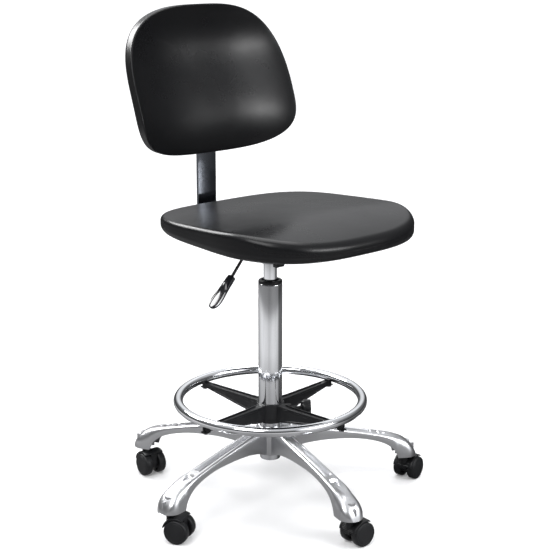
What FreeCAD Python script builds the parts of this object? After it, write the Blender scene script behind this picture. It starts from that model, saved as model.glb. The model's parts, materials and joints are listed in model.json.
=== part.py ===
"""Drafting chair: foam seat and back, gas lift, foot ring, five-star base on twin-wheel casters.

Millimetres, +Z up. The origin is on the floor, on the axis of the column. The sitter faces -Y,
and the sitter's left is +X.
"""
import FreeCAD, Part
import math
import os

Vec = FreeCAD.Vector
UP = Vec(0, 0, 1)
ORIGIN = Vec(0, 0, 0)

# ---------------------------------------------------------------- driving dimensions
# five-star base
ARM_COUNT = 5
ARM_FIRST_DEG = 43.0
STEM_CIRCLE_R = 301.0
HUB_R = 28.5
HUB_Z = (95.0, 152.0)
# radius at which the casting is parted into its hub and arms, so that each is a simple shape
HUB_PART_R = 42.0
# arm outline: height of its back and of its lower edge, and half width, against the radius
ARM_TOP = [(20, 153), (60, 149.5), (100, 143.5), (140, 136.5), (185, 127.5), (230, 118),
           (268, 110), (293, 101), (311, 87), (321, 72), (326, 56)]
ARM_UNDER = [(20, 94), (60, 108), (100, 114), (140, 114.5), (180, 112), (212, 106.5),
             (242, 98), (262, 87), (275, 73), (281, 56)]
ARM_HALF_WIDTH = [(20, 25), (60, 20.5), (100, 17.8), (140, 16.3), (185, 15.8), (225, 16.8),
                  (258, 20), (282, 24), (300, 25.5), (316, 20.5), (326, 0)]
ARM_WALL = 4.0
ARM_FLOOR_Z = 60.0

# casters
WHEEL_R = 25.0
WHEEL_W = 17.0
WHEEL_PITCH = 34.0
TRAIL = 20.0
STEM_R = 5.5
AXLE_R = 3.0
HOOD_R = 29.6
HOOD_GAP = 1.3
HOOD_W = 46.0
# direction in which each caster trails, in degrees about +Z
CASTER_DEG = (171.0, -95.0, -62.0, -3.0, 12.0)

# gas lift
TUBE_R = 25.0
TUBE_Z = (80.0, 465.0)
TUBE_FOOT_R = 21.5
TUBE_BORE_R = 20.5
BUSH_Z = (385.0, 472.0)
CYLINDER_R = 14.0
CYLINDER_Z = (122.0, 548.0)
ROD_R = 5.0
ROD_TOP = 335.0
FIT = 0.05

# foot ring
RING_R = 194.0
RING_TUBE_R = 10.0
RING_TUBE_WALL = 1.8
RING_Z = 212.0
SPIDER_Z = (166.0, 206.0)
SPIDER_HUB_R = 29.5
SPOKE_COUNT = 4
SPOKE_FIRST_DEG = 6.0
KNOB_DEG = -39.0
RING_KNOB_Z = 190.0

# seat
SEAT_FRONT_Y = -278.0
SEAT_REAR_Y = 165.0
SEAT_HALF_FRONT = 234.0
SEAT_HALF_REAR = 218.0
SEAT_ROUND_FRONT = 2.8
SEAT_ROUND_REAR = 3.7
SEAT_BOTTOM_Z = 578.5
PLATE_Z = (570.0, 573.0)
BOARD_Z = (573.0, 588.0)

# lever and valve
PIVOT = Vec(-34, 0, 560)
PIN_R = 3.0
LEVER_R = 3.0
BUTTON_Z = (520.0, 552.0)
BUTTON_R = 3.0

# back bar and backrest
BAR_HALF_W = 25.0
BAR_T = 6.0
BAR_FOOT_Z = 566.7
BAR_UPRIGHT_Y = 204.5
BAR_BEND_R = 30.0
BAR_KINK_Z = 728.0
BAR_LEAN_DEG = 10.0
BAR_UPPER_LEN = 138.0
BACK_HALF_W = 209.0
BACK_Z = (715.0, 831.0, 1021.0)
BACK_T = 38.0
BACK_EDGE_T = 27.0
BACK_REAR_INSET = 7.0
BACK_WRAP = 33.0
BACK_WRAP_POWER = 3.4
BACK_ROUND_TOP = 2.9
BACK_ROUND_BOTTOM = 3.3
# along the bar's leaning part: top of the pocket in the foam, clear of the bar at its lowest setting
POCKET_TOP = 160.0
# distances in front of the bar's middle plane: the two faces of the bracket's flange
FLANGE_OUT = (4.2, 7.2)
BACK_BOARD_T = 2.3

PIECES = {}


# ---------------------------------------------------------------- helpers
def keep(name, *solids):
    """File one or more solids under a node's name."""
    PIECES[name] = solids[0] if len(solids) == 1 else Part.makeCompound(list(solids))


def rod(r, z0, z1, x=0.0, y=0.0):
    return Part.makeCylinder(r, z1 - z0, Vec(x, y, z0), UP)


def pipe(r_out, r_in, z0, z1, x=0.0, y=0.0):
    return rod(r_out, z0, z1, x, y).cut(rod(r_in, z0 - 1, z1 + 1, x, y))


def block(x0, x1, y0, y1, z0, z1):
    return Part.makeBox(x1 - x0, y1 - y0, z1 - z0, Vec(x0, y0, z0))


def spun(profile, axis=UP, centre=ORIGIN):
    """Turn a closed outline of (radius, height) points about an axis through centre."""
    points = [Vec(r, 0, h) for r, h in profile]
    face = Part.Face(Part.makePolygon(points + [points[0]]))
    solid = face.revolve(ORIGIN, UP, 360)
    solid.Placement = FreeCAD.Placement(centre, FreeCAD.Rotation(UP, axis))
    return solid


def curve(points):
    """A smooth edge through points."""
    spline = Part.BSplineCurve()
    spline.interpolate([Vec(*p) for p in points])
    return spline.toShape()


def line(a, b):
    return Part.makeLine(Vec(*a), Vec(*b))


def turned(shape, degrees, centre=ORIGIN, axis=UP):
    copy = shape.copy()
    copy.rotate(centre, axis, degrees)
    return copy


def moved(shape, x, y, z):
    copy = shape.copy()
    copy.translate(Vec(x, y, z))
    return copy


def polar(r, degrees, z=0.0):
    angle = math.radians(degrees)
    return Vec(r * math.cos(angle), r * math.sin(angle), z)


def superellipse(t, power):
    """A quarter of a superellipse at t from 0 to 1, as shares of its two half axes."""
    angle = t * math.pi / 2
    return math.cos(angle) ** (2 / power), math.sin(angle) ** (2 / power)


# ---------------------------------------------------------------- five-star base
def arm_solid(drop, inset, reach):
    """One arm along +X: its side outline, met with its plan outline.

    drop lowers the back, inset narrows the plan, and reach shortens the nose."""
    top = [(r, 0, z - drop) for r, z in ARM_TOP]
    if inset:
        under = [line(top[-1], (top[-1][0], 0, 30)), line((top[-1][0], 0, 30), (20, 0, 30)),
                 line((20, 0, 30), top[0])]
    else:
        low = [(r, 0, z) for r, z in ARM_UNDER]
        under = [line(top[-1], low[-1]), curve(low), line(low[0], top[0])]
    side = Part.Face(Part.Wire(Part.__sortEdges__([curve(top)] + under)))
    side_solid = moved(side, 0, -40, 0).extrude(Vec(0, 80, 0))
    half = [(r - reach * (r > 310), max(w - inset, 0), 0) for r, w in ARM_HALF_WIDTH]
    plan = half + [(r, -w, z) for r, w, z in reversed(half[:-1])]
    outline = Part.Face(Part.Wire([curve(plan), line(plan[-1], plan[0])]))
    return side_solid.common(outline.extrude(Vec(0, 0, 200)))


def star_base():
    outer = arm_solid(0, 0, 0)
    outer = outer.cut(block(0, 400, -60, 60, 0, ARM_FLOOR_Z))
    hollow = arm_solid(ARM_WALL, ARM_WALL, ARM_WALL).cut(block(-50, 52, -60, 60, 0, 200))
    boss = rod(10.5, ARM_FLOOR_Z, 99, STEM_CIRCLE_R).common(outer)
    arm = outer.cut(hollow).fuse(boss)
    arm = arm.cut(rod(STEM_R, ARM_FLOOR_Z - 5, 92, STEM_CIRCLE_R))
    hub = rod(HUB_R, *HUB_Z)
    arms = [turned(arm, ARM_FIRST_DEG + k * 360 / ARM_COUNT) for k in range(ARM_COUNT)]
    casting = hub.multiFuse(arms).removeSplitter().cut(tube_outside())
    middle = rod(HUB_PART_R, 0, 200)
    keep("star_hub", casting.common(middle))
    keep("star_arms", *casting.cut(middle).Solids)


def tube_outside():
    """The outside of the column tube, with the taper that jams in the base's hub."""
    z_foot, z_top = TUBE_Z
    return spun([(0, z_foot), (TUBE_FOOT_R, z_foot), (TUBE_FOOT_R + 0.8, HUB_Z[0]),
                 (TUBE_R, HUB_Z[1]), (TUBE_R, z_top), (0, z_top)])


# ---------------------------------------------------------------- gas lift
def gas_lift():
    z_foot, z_top = TUBE_Z
    floor_z = (z_foot + 4, z_foot + 14)
    tube = tube_outside().cut(rod(TUBE_BORE_R - 1.5, floor_z[1], HUB_Z[1] + 1))
    tube = tube.cut(rod(TUBE_BORE_R, HUB_Z[1], z_top + 1))
    tube = tube.cut(rod(14, z_foot - 1, floor_z[0])).cut(rod(ROD_R + FIT, z_foot, floor_z[1] + 1))
    keep("column_tube", tube)

    bush = spun([(CYLINDER_R + FIT, BUSH_Z[0]), (TUBE_BORE_R, BUSH_Z[0]), (TUBE_BORE_R, z_top),
                 (TUBE_R - 0.4, z_top), (TUBE_R - 0.4, BUSH_Z[1] - 2.5), (TUBE_R - 3, BUSH_Z[1]),
                 (CYLINDER_R + 2.5, BUSH_Z[1]), (CYLINDER_R + FIT, BUSH_Z[1] - 3)])
    keep("guide_bush", bush)

    bearing = floor_z[1]
    races = [pipe(13, ROD_R + 0.6, bearing + z0, bearing + z1) for z0, z1 in ((0, 1.5), (4.5, 6))]
    balls = []
    for k in range(8):
        balls.append(Part.makeSphere(1.5, polar(9.2, k * 45, bearing + 3)))
    keep("thrust_bearing", *races, *balls)

    collar_z = bearing + 6
    rod_shape = rod(ROD_R, z_foot + 1.5, ROD_TOP).fuse(rod(9, collar_z, collar_z + 5))
    groove = pipe(ROD_R + 1, ROD_R - 1.2, floor_z[0] - 1.8, floor_z[0] - 0.6)
    keep("piston_rod", rod_shape.cut(groove))
    keep("retaining_clip", pipe(8.5, ROD_R - 1.2, floor_z[0] - 1.8, floor_z[0] - 0.6))
    keep("gas_piston", rod(CYLINDER_R - 2.3, ROD_TOP, ROD_TOP + 14))

    z0, z1 = CYLINDER_Z
    taper_z = 508.0
    body = spun([(0, z0), (CYLINDER_R - 1, z0), (CYLINDER_R, z0 + 2), (CYLINDER_R, taper_z),
                 (CYLINDER_R - 1, z1), (0, z1)])
    body = body.cut(rod(CYLINDER_R - 2.2, z0 + 8, 504)).cut(rod(ROD_R + FIT, z0 - 1, z0 + 9))
    body = body.cut(rod(BUTTON_R + FIT, 503, z1 + 1))
    keep("inner_cylinder", body)
    keep("valve_button", rod(BUTTON_R, *BUTTON_Z))


# ---------------------------------------------------------------- foot ring
def star_knob(name, centre, direction, stud, grip_r=18.0, grip_t=22.0, lobes=6):
    """A hand knob whose stud starts at centre and runs along direction to the grip."""
    grip = spun([(0, stud), (8, stud), (grip_r - 3, stud + 4), (grip_r, stud + 7),
                 (grip_r, stud + grip_t - 3), (grip_r - 3, stud + grip_t), (0, stud + grip_t)])
    for k in range(lobes):
        notch = polar(grip_r + 4.5, k * 360 / lobes)
        grip = grip.cut(rod(7.5, stud - 1, stud + grip_t + 1, notch.x, notch.y))
    knob = rod(4.0, 0, stud + 1).fuse(grip)
    knob.Placement = FreeCAD.Placement(centre, FreeCAD.Rotation(UP, direction))
    keep(name, knob)


def foot_ring():
    centre = Vec(0, 0, RING_Z)
    outside = Part.makeTorus(RING_R, RING_TUBE_R, centre, UP)
    inside = Part.makeTorus(RING_R, RING_TUBE_R - RING_TUBE_WALL, centre, UP)
    z0, z1 = SPIDER_Z
    under = RING_Z - RING_TUBE_R
    tip_r, tip_z, clip_z, head_z = RING_R + 6, under - 8, under - 11, under - 14
    spoke_side = [Vec(24, 0, z0 + 1), Vec(60, 0, z0 + 7), Vec(RING_R - 8, 0, tip_z),
                  Vec(tip_r, 0, tip_z), Vec(tip_r, 0, under + 2),
                  Vec(RING_R - 14, 0, under + 2), Vec(60, 0, z1 - 2), Vec(24, 0, z1 - 1)]
    side = Part.Face(Part.makePolygon(spoke_side + [spoke_side[0]]))
    plan_points = [Vec(20, -11, 0), Vec(60, -8.5, 0), Vec(tip_r, -6.5, 0),
                   Vec(tip_r, 6.5, 0), Vec(60, 8.5, 0), Vec(20, 11, 0)]
    plan = Part.Face(Part.makePolygon(plan_points + [plan_points[0]]))
    spoke = moved(side, 0, -20, 0).extrude(Vec(0, 40, 0)).common(plan.extrude(Vec(0, 0, 300)))

    spokes, screws, clips = [], [], []
    screw = rod(2.5, clip_z, under + 1.8, RING_R).fuse(rod(5, head_z, clip_z, RING_R))
    clip = block(RING_R - 8, tip_r + 1, -6.5, 6.5, clip_z, tip_z)
    for k in range(SPOKE_COUNT):
        angle = SPOKE_FIRST_DEG + k * 360 / SPOKE_COUNT
        spokes.append(turned(spoke, angle))
        screws.append(turned(screw, angle))
        clips.append(turned(clip, angle))
    screw_set = Part.makeCompound(screws)
    hub = rod(SPIDER_HUB_R, z0, z1).fuse(rod(SPIDER_HUB_R + 2, z0, z0 + 6))
    spider = hub.multiFuse(spokes).removeSplitter().cut(rod(TUBE_R + FIT, z0 - 1, z1 + 1))
    knob_way = polar(1, KNOB_DEG)
    stud_hole = Part.makeCylinder(4.0 + FIT, 60, Vec(0, 0, RING_KNOB_Z), knob_way)
    boss = Part.makeCylinder(9, 24, knob_way * 20 + Vec(0, 0, RING_KNOB_Z), knob_way)
    spider = spider.fuse(boss.cut(rod(TUBE_R + FIT, z0 - 1, z1 + 1))).cut(stud_hole)
    keep("footring_spider", spider.cut(outside).cut(screw_set))
    keep("foot_ring", outside.cut(inside).cut(screw_set))
    keep("ring_screws", *screws)
    keep("ring_clips", *[piece.cut(screw_set) for piece in clips])
    star_knob("clamp_knob", knob_way * (TUBE_R + 0.6) + Vec(0, 0, RING_KNOB_Z), knob_way, 38)


# ---------------------------------------------------------------- casters
def wheel(side):
    """A wheel about the Y axis at the origin, its cap facing side."""
    r, half = WHEEL_R, WHEEL_W / 2
    profile = [(0, 1.5), (AXLE_R + FIT, 1.5), (AXLE_R + FIT, -half), (8, -half), (9.5, -3),
               (19, -3), (20, -half + 0.8), (r - 2.5, -half), (r, -half + 3), (r, half - 3.5),
               (r - 3, half - 0.6), (r - 6, half), (r - 7, half - 0.8), (8, half - 0.3), (0, half)]
    return spun(profile, Vec(0, side, 0))


def hood():
    """The hood of a caster: stem axis on the Z axis, wheels trailing along +X."""
    axle = Vec(TRAIL, 0, WHEEL_R)
    along = Vec(0, 1, 0)
    web_half = WHEEL_PITCH / 2 - WHEEL_W / 2 - 0.4
    web = Part.makeCylinder(15, 2 * web_half, axle - along * web_half, along)
    web = web.fuse(block(-2, TRAIL, -web_half, web_half, 27, 47))
    outside = Part.makeCylinder(HOOD_R, HOOD_W, axle - along * HOOD_W / 2, along)
    inside = Part.makeCylinder(WHEEL_R + HOOD_GAP, HOOD_W + 2, axle - along * (HOOD_W / 2 + 1), along)
    cover = outside.cut(inside).cut(block(-60, 80, -40, 40, -20, 31))
    cover = cover.cut(block(TRAIL + 14, 80, -40, 40, 0, 80))
    middle = outside.cut(block(-60, 80, web_half, 40, -20, 90))
    middle = middle.cut(block(-60, 80, -40, -web_half, -20, 90))
    middle = middle.cut(block(-60, 80, -40, 40, -20, 31)).cut(block(TRAIL + 14, 80, -40, 40, 0, 80))
    boss = rod(web_half, 26, 57)
    shape = cover.multiFuse([middle, web, boss]).removeSplitter()
    return shape.cut(rod(STEM_R + FIT, 20, 60)).cut(
        Part.makeCylinder(AXLE_R, 60, axle - along * 30, along))


def casters():
    axle_half = WHEEL_PITCH / 2 + 1
    axle = Part.makeCylinder(AXLE_R, 2 * axle_half, Vec(TRAIL, -axle_half, WHEEL_R), Vec(0, 1, 0))
    stem = spun([(0, 29), (STEM_R - 1, 29), (STEM_R, 30), (STEM_R, 57.3), (8.5, 57.3),
                 (8.5, ARM_FLOOR_Z), (STEM_R, ARM_FLOOR_Z), (STEM_R, 91), (STEM_R - 1.5, 92), (0, 92)])
    for k in range(ARM_COUNT):
        foot = polar(STEM_CIRCLE_R, ARM_FIRST_DEG + k * 360 / ARM_COUNT)
        parts = {"caster_stem": stem, "caster_hood": hood(), "caster_axle": axle}
        for label, side in (("a", 1), ("b", -1)):
            parts["caster_wheel_" + label] = moved(wheel(side), TRAIL, side * WHEEL_PITCH / 2, WHEEL_R)
        for name, shape in parts.items():
            placed = turned(shape, CASTER_DEG[k])
            placed.translate(foot)
            keep(f"{name}_{k + 1}", placed)


# ---------------------------------------------------------------- seat
def seat_outline():
    """Rounded trapezoid of the seat, wider in front, as one closed curve."""
    middle = (SEAT_FRONT_Y + SEAT_REAR_Y) / 2
    half = (SEAT_REAR_Y - SEAT_FRONT_Y) / 2
    corners = []
    for sign, power in ((-1, SEAT_ROUND_FRONT), (1, SEAT_ROUND_REAR)):
        quarter = []
        for t in (0.0, 0.15, 0.35, 0.5, 0.65, 0.85, 1.0):
            across, along = superellipse(t, power)
            y = middle + sign * half * along
            share = (y - SEAT_FRONT_Y) / (2 * half)
            half_width = SEAT_HALF_FRONT + (SEAT_HALF_REAR - SEAT_HALF_FRONT) * share
            quarter.append((half_width * across, y))
        corners.append(quarter)
    front, rear = corners
    right = front[::-1] + rear[1:]
    loop = right + [(-x, y) for x, y in reversed(right[1:-1])]
    spline = Part.BSplineCurve()
    spline.interpolate([Vec(x, y, 0) for x, y in loop], PeriodicFlag=True)
    return Part.Face(Part.Wire([spline.toShape()]))


def seat_foam():
    top = [(-285, 600), (-250, 611), (-200, 621), (-120, 626.5), (0, 621), (90, 617), (175, 613.5)]
    bottom = [(175, SEAT_BOTTOM_Z + 7.5), (-285, SEAT_BOTTOM_Z - 7.5)]
    edges = [curve([(0, y, z) for y, z in top]), line((0, *top[-1]), (0, *bottom[0])),
             line((0, *bottom[0]), (0, *bottom[1])), line((0, *bottom[1]), (0, *top[0]))]
    side = moved(Part.Face(Part.Wire(edges)), -300, 0, 0).extrude(Vec(600, 0, 0))
    foam = moved(seat_outline(), 0, 0, 500).extrude(Vec(0, 0, 200)).common(side)
    board = block(-115, 115, -120, 110, *BOARD_Z)
    bolts = [(x, y) for x in (-75, 75) for y in (-70, 75)]
    shafts = Part.makeCompound([rod(4, PLATE_Z[0], BOARD_Z[0] + 10, x, y) for x, y in bolts])
    heads = [rod(6.5, PLATE_Z[0] - 5, PLATE_Z[0], x, y).fuse(
        rod(4, PLATE_Z[0] - 1, BOARD_Z[0] + 10, x, y)) for x, y in bolts]
    keep("seat_foam", foam.cut(board))
    keep("seat_board", board.cut(shafts))
    keep("seat_plate", block(-95, 95, -90, 95, *PLATE_Z).cut(shafts))
    keep("seat_bolts", *heads)


def seat_mechanism():
    z_low, z_box, z_top = 508.0, 546.0, PLATE_Z[0]
    socket = spun([(0, z_low), (20, z_low), (23, z_box), (0, z_box)])
    socket = socket.fuse(block(-44, 44, -25, 25, z_box - 4, z_box))
    for side in (-1, 1):
        low, high = sorted((side * 22, side * 25))
        socket = socket.fuse(block(-44, 44, low, high, z_box - 4, z_top))
    socket = socket.cut(PIECES["inner_cylinder"]).cut(rod(12.5, z_low, z_top))
    pin = Part.makeCylinder(PIN_R, 50, PIVOT - Vec(0, 25, 0), Vec(0, 1, 0))
    keep("taper_socket", socket.cut(pin))
    keep("lever_pivot", pin)
    keep("valve_cover", block(-15, 6, -36, -25, 505, z_top).cut(rod(23.4, 500, z_top)))

    floor_z = BAR_FOOT_Z - BAR_T / 2 - 0.3
    inner, outer = BAR_HALF_W + 1, BAR_HALF_W + 4
    channel = block(-outer, outer, 25, 150, floor_z - 3, z_top)
    channel = channel.cut(block(-inner, inner, 24, 151, floor_z, z_top + 1))
    stud_y = 120.0
    keep("bar_clamp", channel.cut(rod(4 + FIT, floor_z - 5, floor_z + 1, 0, stud_y)))
    star_knob("depth_knob", Vec(0, stud_y, floor_z - 0.1), Vec(0, 0, -1), 18)


def lever():
    axis = Vec(0, 1, 0)
    hub = Part.makeCylinder(7, 20, PIVOT - axis * 10, axis)
    tongue = block(PIVOT.x, 4, -5, 5, BUTTON_Z[1] + 0.35, BUTTON_Z[1] + 6.35)
    bend = Vec(-90, -37, 560)
    grip_top = Vec(-162, -67, 516)
    grip_tip = Vec(-211.5, -67, 466)
    path = [PIVOT, bend, grip_top]
    shape = hub.fuse(tongue)
    for a, b in zip(path, path[1:]):
        shape = shape.fuse(Part.makeCylinder(LEVER_R, (b - a).Length, a, b - a))
        shape = shape.fuse(Part.makeSphere(LEVER_R, b))
    hole = Part.makeCylinder(PIN_R + FIT, 30, PIVOT - axis * 15, axis)
    tail = grip_top + (grip_top - bend).normalize() * 14
    shape = shape.fuse(Part.makeCylinder(LEVER_R, (tail - grip_top).Length, grip_top, tail - grip_top))
    keep("lever_rod", shape.cut(hole))

    down = (grip_tip - grip_top).normalize()
    side = axis.cross(down).normalize()
    frame = [(0, 9, 8), (10, 9.5, 8.5), (30, 12, 7.5), (52, 16, 5.5), (64, 14, 4.5), (72, 8, 3)]
    sections = []
    for along, half_w, half_t in frame:
        oval = Part.Ellipse(ORIGIN, half_w, half_t).toShape()
        ring = Part.Wire([oval])
        placement = FreeCAD.Matrix(axis.x, side.x, down.x, 0, axis.y, side.y, down.y, 0,
                                   axis.z, side.z, down.z, 0, 0, 0, 0, 1)
        ring = ring.transformed(placement)
        ring.translate(grip_top + down * along)
        sections.append(ring)
    grip = Part.makeLoft(sections, True)
    keep("lever_handle", grip.cut(shape))


# ---------------------------------------------------------------- back bar
def upper_frame():
    """Foot of the bar's leaning upper part, the way it runs, and the way its rear face looks."""
    angle = math.radians(BAR_LEAN_DEG)
    return (Vec(0, BAR_UPRIGHT_Y, BAR_KINK_Z), Vec(0, math.sin(angle), math.cos(angle)),
            Vec(0, math.cos(angle), -math.sin(angle)))


def leaning_block(half_w, along0, along1, out0, out1):
    """A block in the frame of the bar's upper part: along it, and out from its middle plane."""
    box = block(-half_w, half_w, out0, out1, along0, along1)
    foot = upper_frame()[0]
    box.rotate(ORIGIN, Vec(1, 0, 0), -BAR_LEAN_DEG)
    box.translate(foot)
    return box


def back_bar():
    half = BAR_T / 2
    foot_y = 48.0
    y_bend = BAR_UPRIGHT_Y - BAR_BEND_R
    z_bend = BAR_FOOT_Z + BAR_BEND_R
    foot = upper_frame()[0]
    path = Part.Wire([
        Part.makeLine(Vec(0, foot_y, BAR_FOOT_Z), Vec(0, y_bend, BAR_FOOT_Z)),
        Part.Arc(Vec(0, y_bend, BAR_FOOT_Z),
                 Vec(0, y_bend + BAR_BEND_R * math.sin(math.pi / 4),
                     z_bend - BAR_BEND_R * math.cos(math.pi / 4)),
                 Vec(0, BAR_UPRIGHT_Y, z_bend)).toShape(),
        Part.makeLine(Vec(0, BAR_UPRIGHT_Y, z_bend), foot)])
    section = Part.makePolygon([Vec(-BAR_HALF_W, foot_y, BAR_FOOT_Z - half),
                                Vec(BAR_HALF_W, foot_y, BAR_FOOT_Z - half),
                                Vec(BAR_HALF_W, foot_y, BAR_FOOT_Z + half),
                                Vec(-BAR_HALF_W, foot_y, BAR_FOOT_Z + half),
                                Vec(-BAR_HALF_W, foot_y, BAR_FOOT_Z - half)])
    lower = path.makePipeShell([section], True, True)
    upper = leaning_block(BAR_HALF_W, -0.25, BAR_UPPER_LEN, -half, half)
    keep("back_bar", lower.fuse(upper).removeSplitter())
    keep("bar_end_cap", block(-BAR_HALF_W, BAR_HALF_W, foot_y - 3, foot_y,
                              BAR_FOOT_Z - half, BAR_FOOT_Z + half))


# ---------------------------------------------------------------- backrest
def spine_y(z):
    """Front face of the backrest on its middle line: hollow of the back, then leaning back."""
    u = (z - 800) / 100
    return 181.7 + 26.8 * u + 16.7 * u * u - 10.2 * u ** 3


def back_half_width(z):
    low, widest, high = BACK_Z
    if z >= widest:
        rise, power = (z - widest) / (high - widest), BACK_ROUND_TOP
    else:
        rise, power = (widest - z) / (widest - low), BACK_ROUND_BOTTOM
    return BACK_HALF_W * max(1 - rise ** power, 0) ** (1 / power)


def back_slice(z):
    """Level slice of the backrest at height z, curled forward towards its side edges."""
    half = back_half_width(z)
    rear_half = max(half - BACK_REAR_INSET, 0.9 * half)
    front = []
    rear = []
    for step in (-1, -0.66, -0.33, 0, 0.33, 0.66, 1):
        share = math.sin(step * math.pi / 2)
        x = half * share
        y = spine_y(z) - BACK_WRAP * (abs(x) / 200) ** BACK_WRAP_POWER
        front.append((x, y, z))
        rear.append((rear_half * share, y + BACK_T - (BACK_T - BACK_EDGE_T) * share ** 4, z))
    return Part.Wire([curve(front), line(front[-1], rear[-1]), curve(rear[::-1]),
                      line(rear[0], front[0])])


def backrest():
    low, widest, high = BACK_Z
    steps = (0.6, 4, 12, 28, 60, 88)
    heights = [low + step for step in steps] + [widest]
    heights += [widest + step for step in (30, 60, 88, 115, 142)]
    heights += [high - step for step in (28, 13, 5, 1)]
    foam = Part.makeLoft([back_slice(z) for z in heights], True, True)
    flange_near, flange_far = FLANGE_OUT
    board_far = flange_far + BACK_BOARD_T
    pocket = leaning_block(44, -30, POCKET_TOP, -board_far, 90)
    pocket = pocket.common(block(-60, 60, 100, 400, 600, high))
    board = leaning_block(40, 28, 140, -board_far, -flange_far)
    sleeve = leaning_block(31, 52, 108, -flange_far, 8)
    flange = leaning_block(40, 34, 126, -flange_far, -flange_near)
    slot = leaning_block(BAR_HALF_W + 0.5, 0, 150, -BAR_T / 2 - 0.3, BAR_T / 2 + 0.3)

    foot, run, out = upper_frame()
    bolts = []
    for x in (-33, 33):
        for step in (42, 118):
            base = foot + run * step + Vec(x, 0, 0)
            shaft = Part.makeCylinder(3, 12, base - out * 14, out)
            head = Part.makeCylinder(5.5, 4, base - out * 2, out)
            bolts.append(shaft.fuse(head))
    bolt_set = Part.makeCompound(bolts)
    stud_start = foot + run * 80 + out * 3.4
    stud_hole = Part.makeCylinder(4 + FIT, 40, stud_start, out)
    keep("back_foam", foam.cut(pocket).cut(bolt_set))
    keep("back_board", board.cut(bolt_set))
    keep("back_bracket", sleeve.fuse(flange).cut(slot).cut(stud_hole).cut(bolt_set))
    keep("back_bolts", *bolts)
    star_knob("height_knob", stud_start, out, 14)


# ---------------------------------------------------------------- build and write
def main():
    star_base()
    gas_lift()
    foot_ring()
    casters()
    seat_foam()
    seat_mechanism()
    lever()
    back_bar()
    backrest()
    os.makedirs("parts", exist_ok=True)
    for name, shape in PIECES.items():
        if not shape.isValid():
            print("not valid:", name)
        shape.exportStep(f"parts/{name}.step")
        print(f"{name}: {len(shape.Solids)} solid(s), {shape.Volume / 1000:.1f} cm3")
    print(len(PIECES), "nodes")


main()
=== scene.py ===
"""Drafting chair in a plain studio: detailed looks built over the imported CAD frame.

Shapes are laid out in millimetres in the row frame (floor at z 0, column on the Z axis, the sitter
facing -Y) and turned into metres as each mesh is made.
"""

import json
import math

import bmesh
import bpy
from mathutils import Matrix, Vector


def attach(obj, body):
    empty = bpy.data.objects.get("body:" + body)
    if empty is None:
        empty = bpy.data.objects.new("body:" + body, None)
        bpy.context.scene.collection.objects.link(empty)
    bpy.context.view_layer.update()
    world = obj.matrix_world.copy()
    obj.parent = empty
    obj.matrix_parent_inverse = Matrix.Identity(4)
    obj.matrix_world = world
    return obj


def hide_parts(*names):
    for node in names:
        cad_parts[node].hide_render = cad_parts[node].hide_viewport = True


MM = 0.001

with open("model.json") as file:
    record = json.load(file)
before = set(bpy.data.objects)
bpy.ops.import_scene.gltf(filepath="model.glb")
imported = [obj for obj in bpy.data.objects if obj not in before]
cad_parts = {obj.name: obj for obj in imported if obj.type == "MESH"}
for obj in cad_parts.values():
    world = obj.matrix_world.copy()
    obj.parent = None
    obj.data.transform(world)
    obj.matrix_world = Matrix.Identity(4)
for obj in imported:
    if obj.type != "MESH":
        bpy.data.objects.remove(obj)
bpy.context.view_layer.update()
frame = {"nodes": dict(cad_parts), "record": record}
record = frame["record"]
SLOT_OF_NODE = {part["node"]: part["material_slot"] for part in record["subparts"]}
BODY_OF_NODE = {node: body for body, nodes in record["behaviour"]["bodies"].items() for node in nodes}


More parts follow.
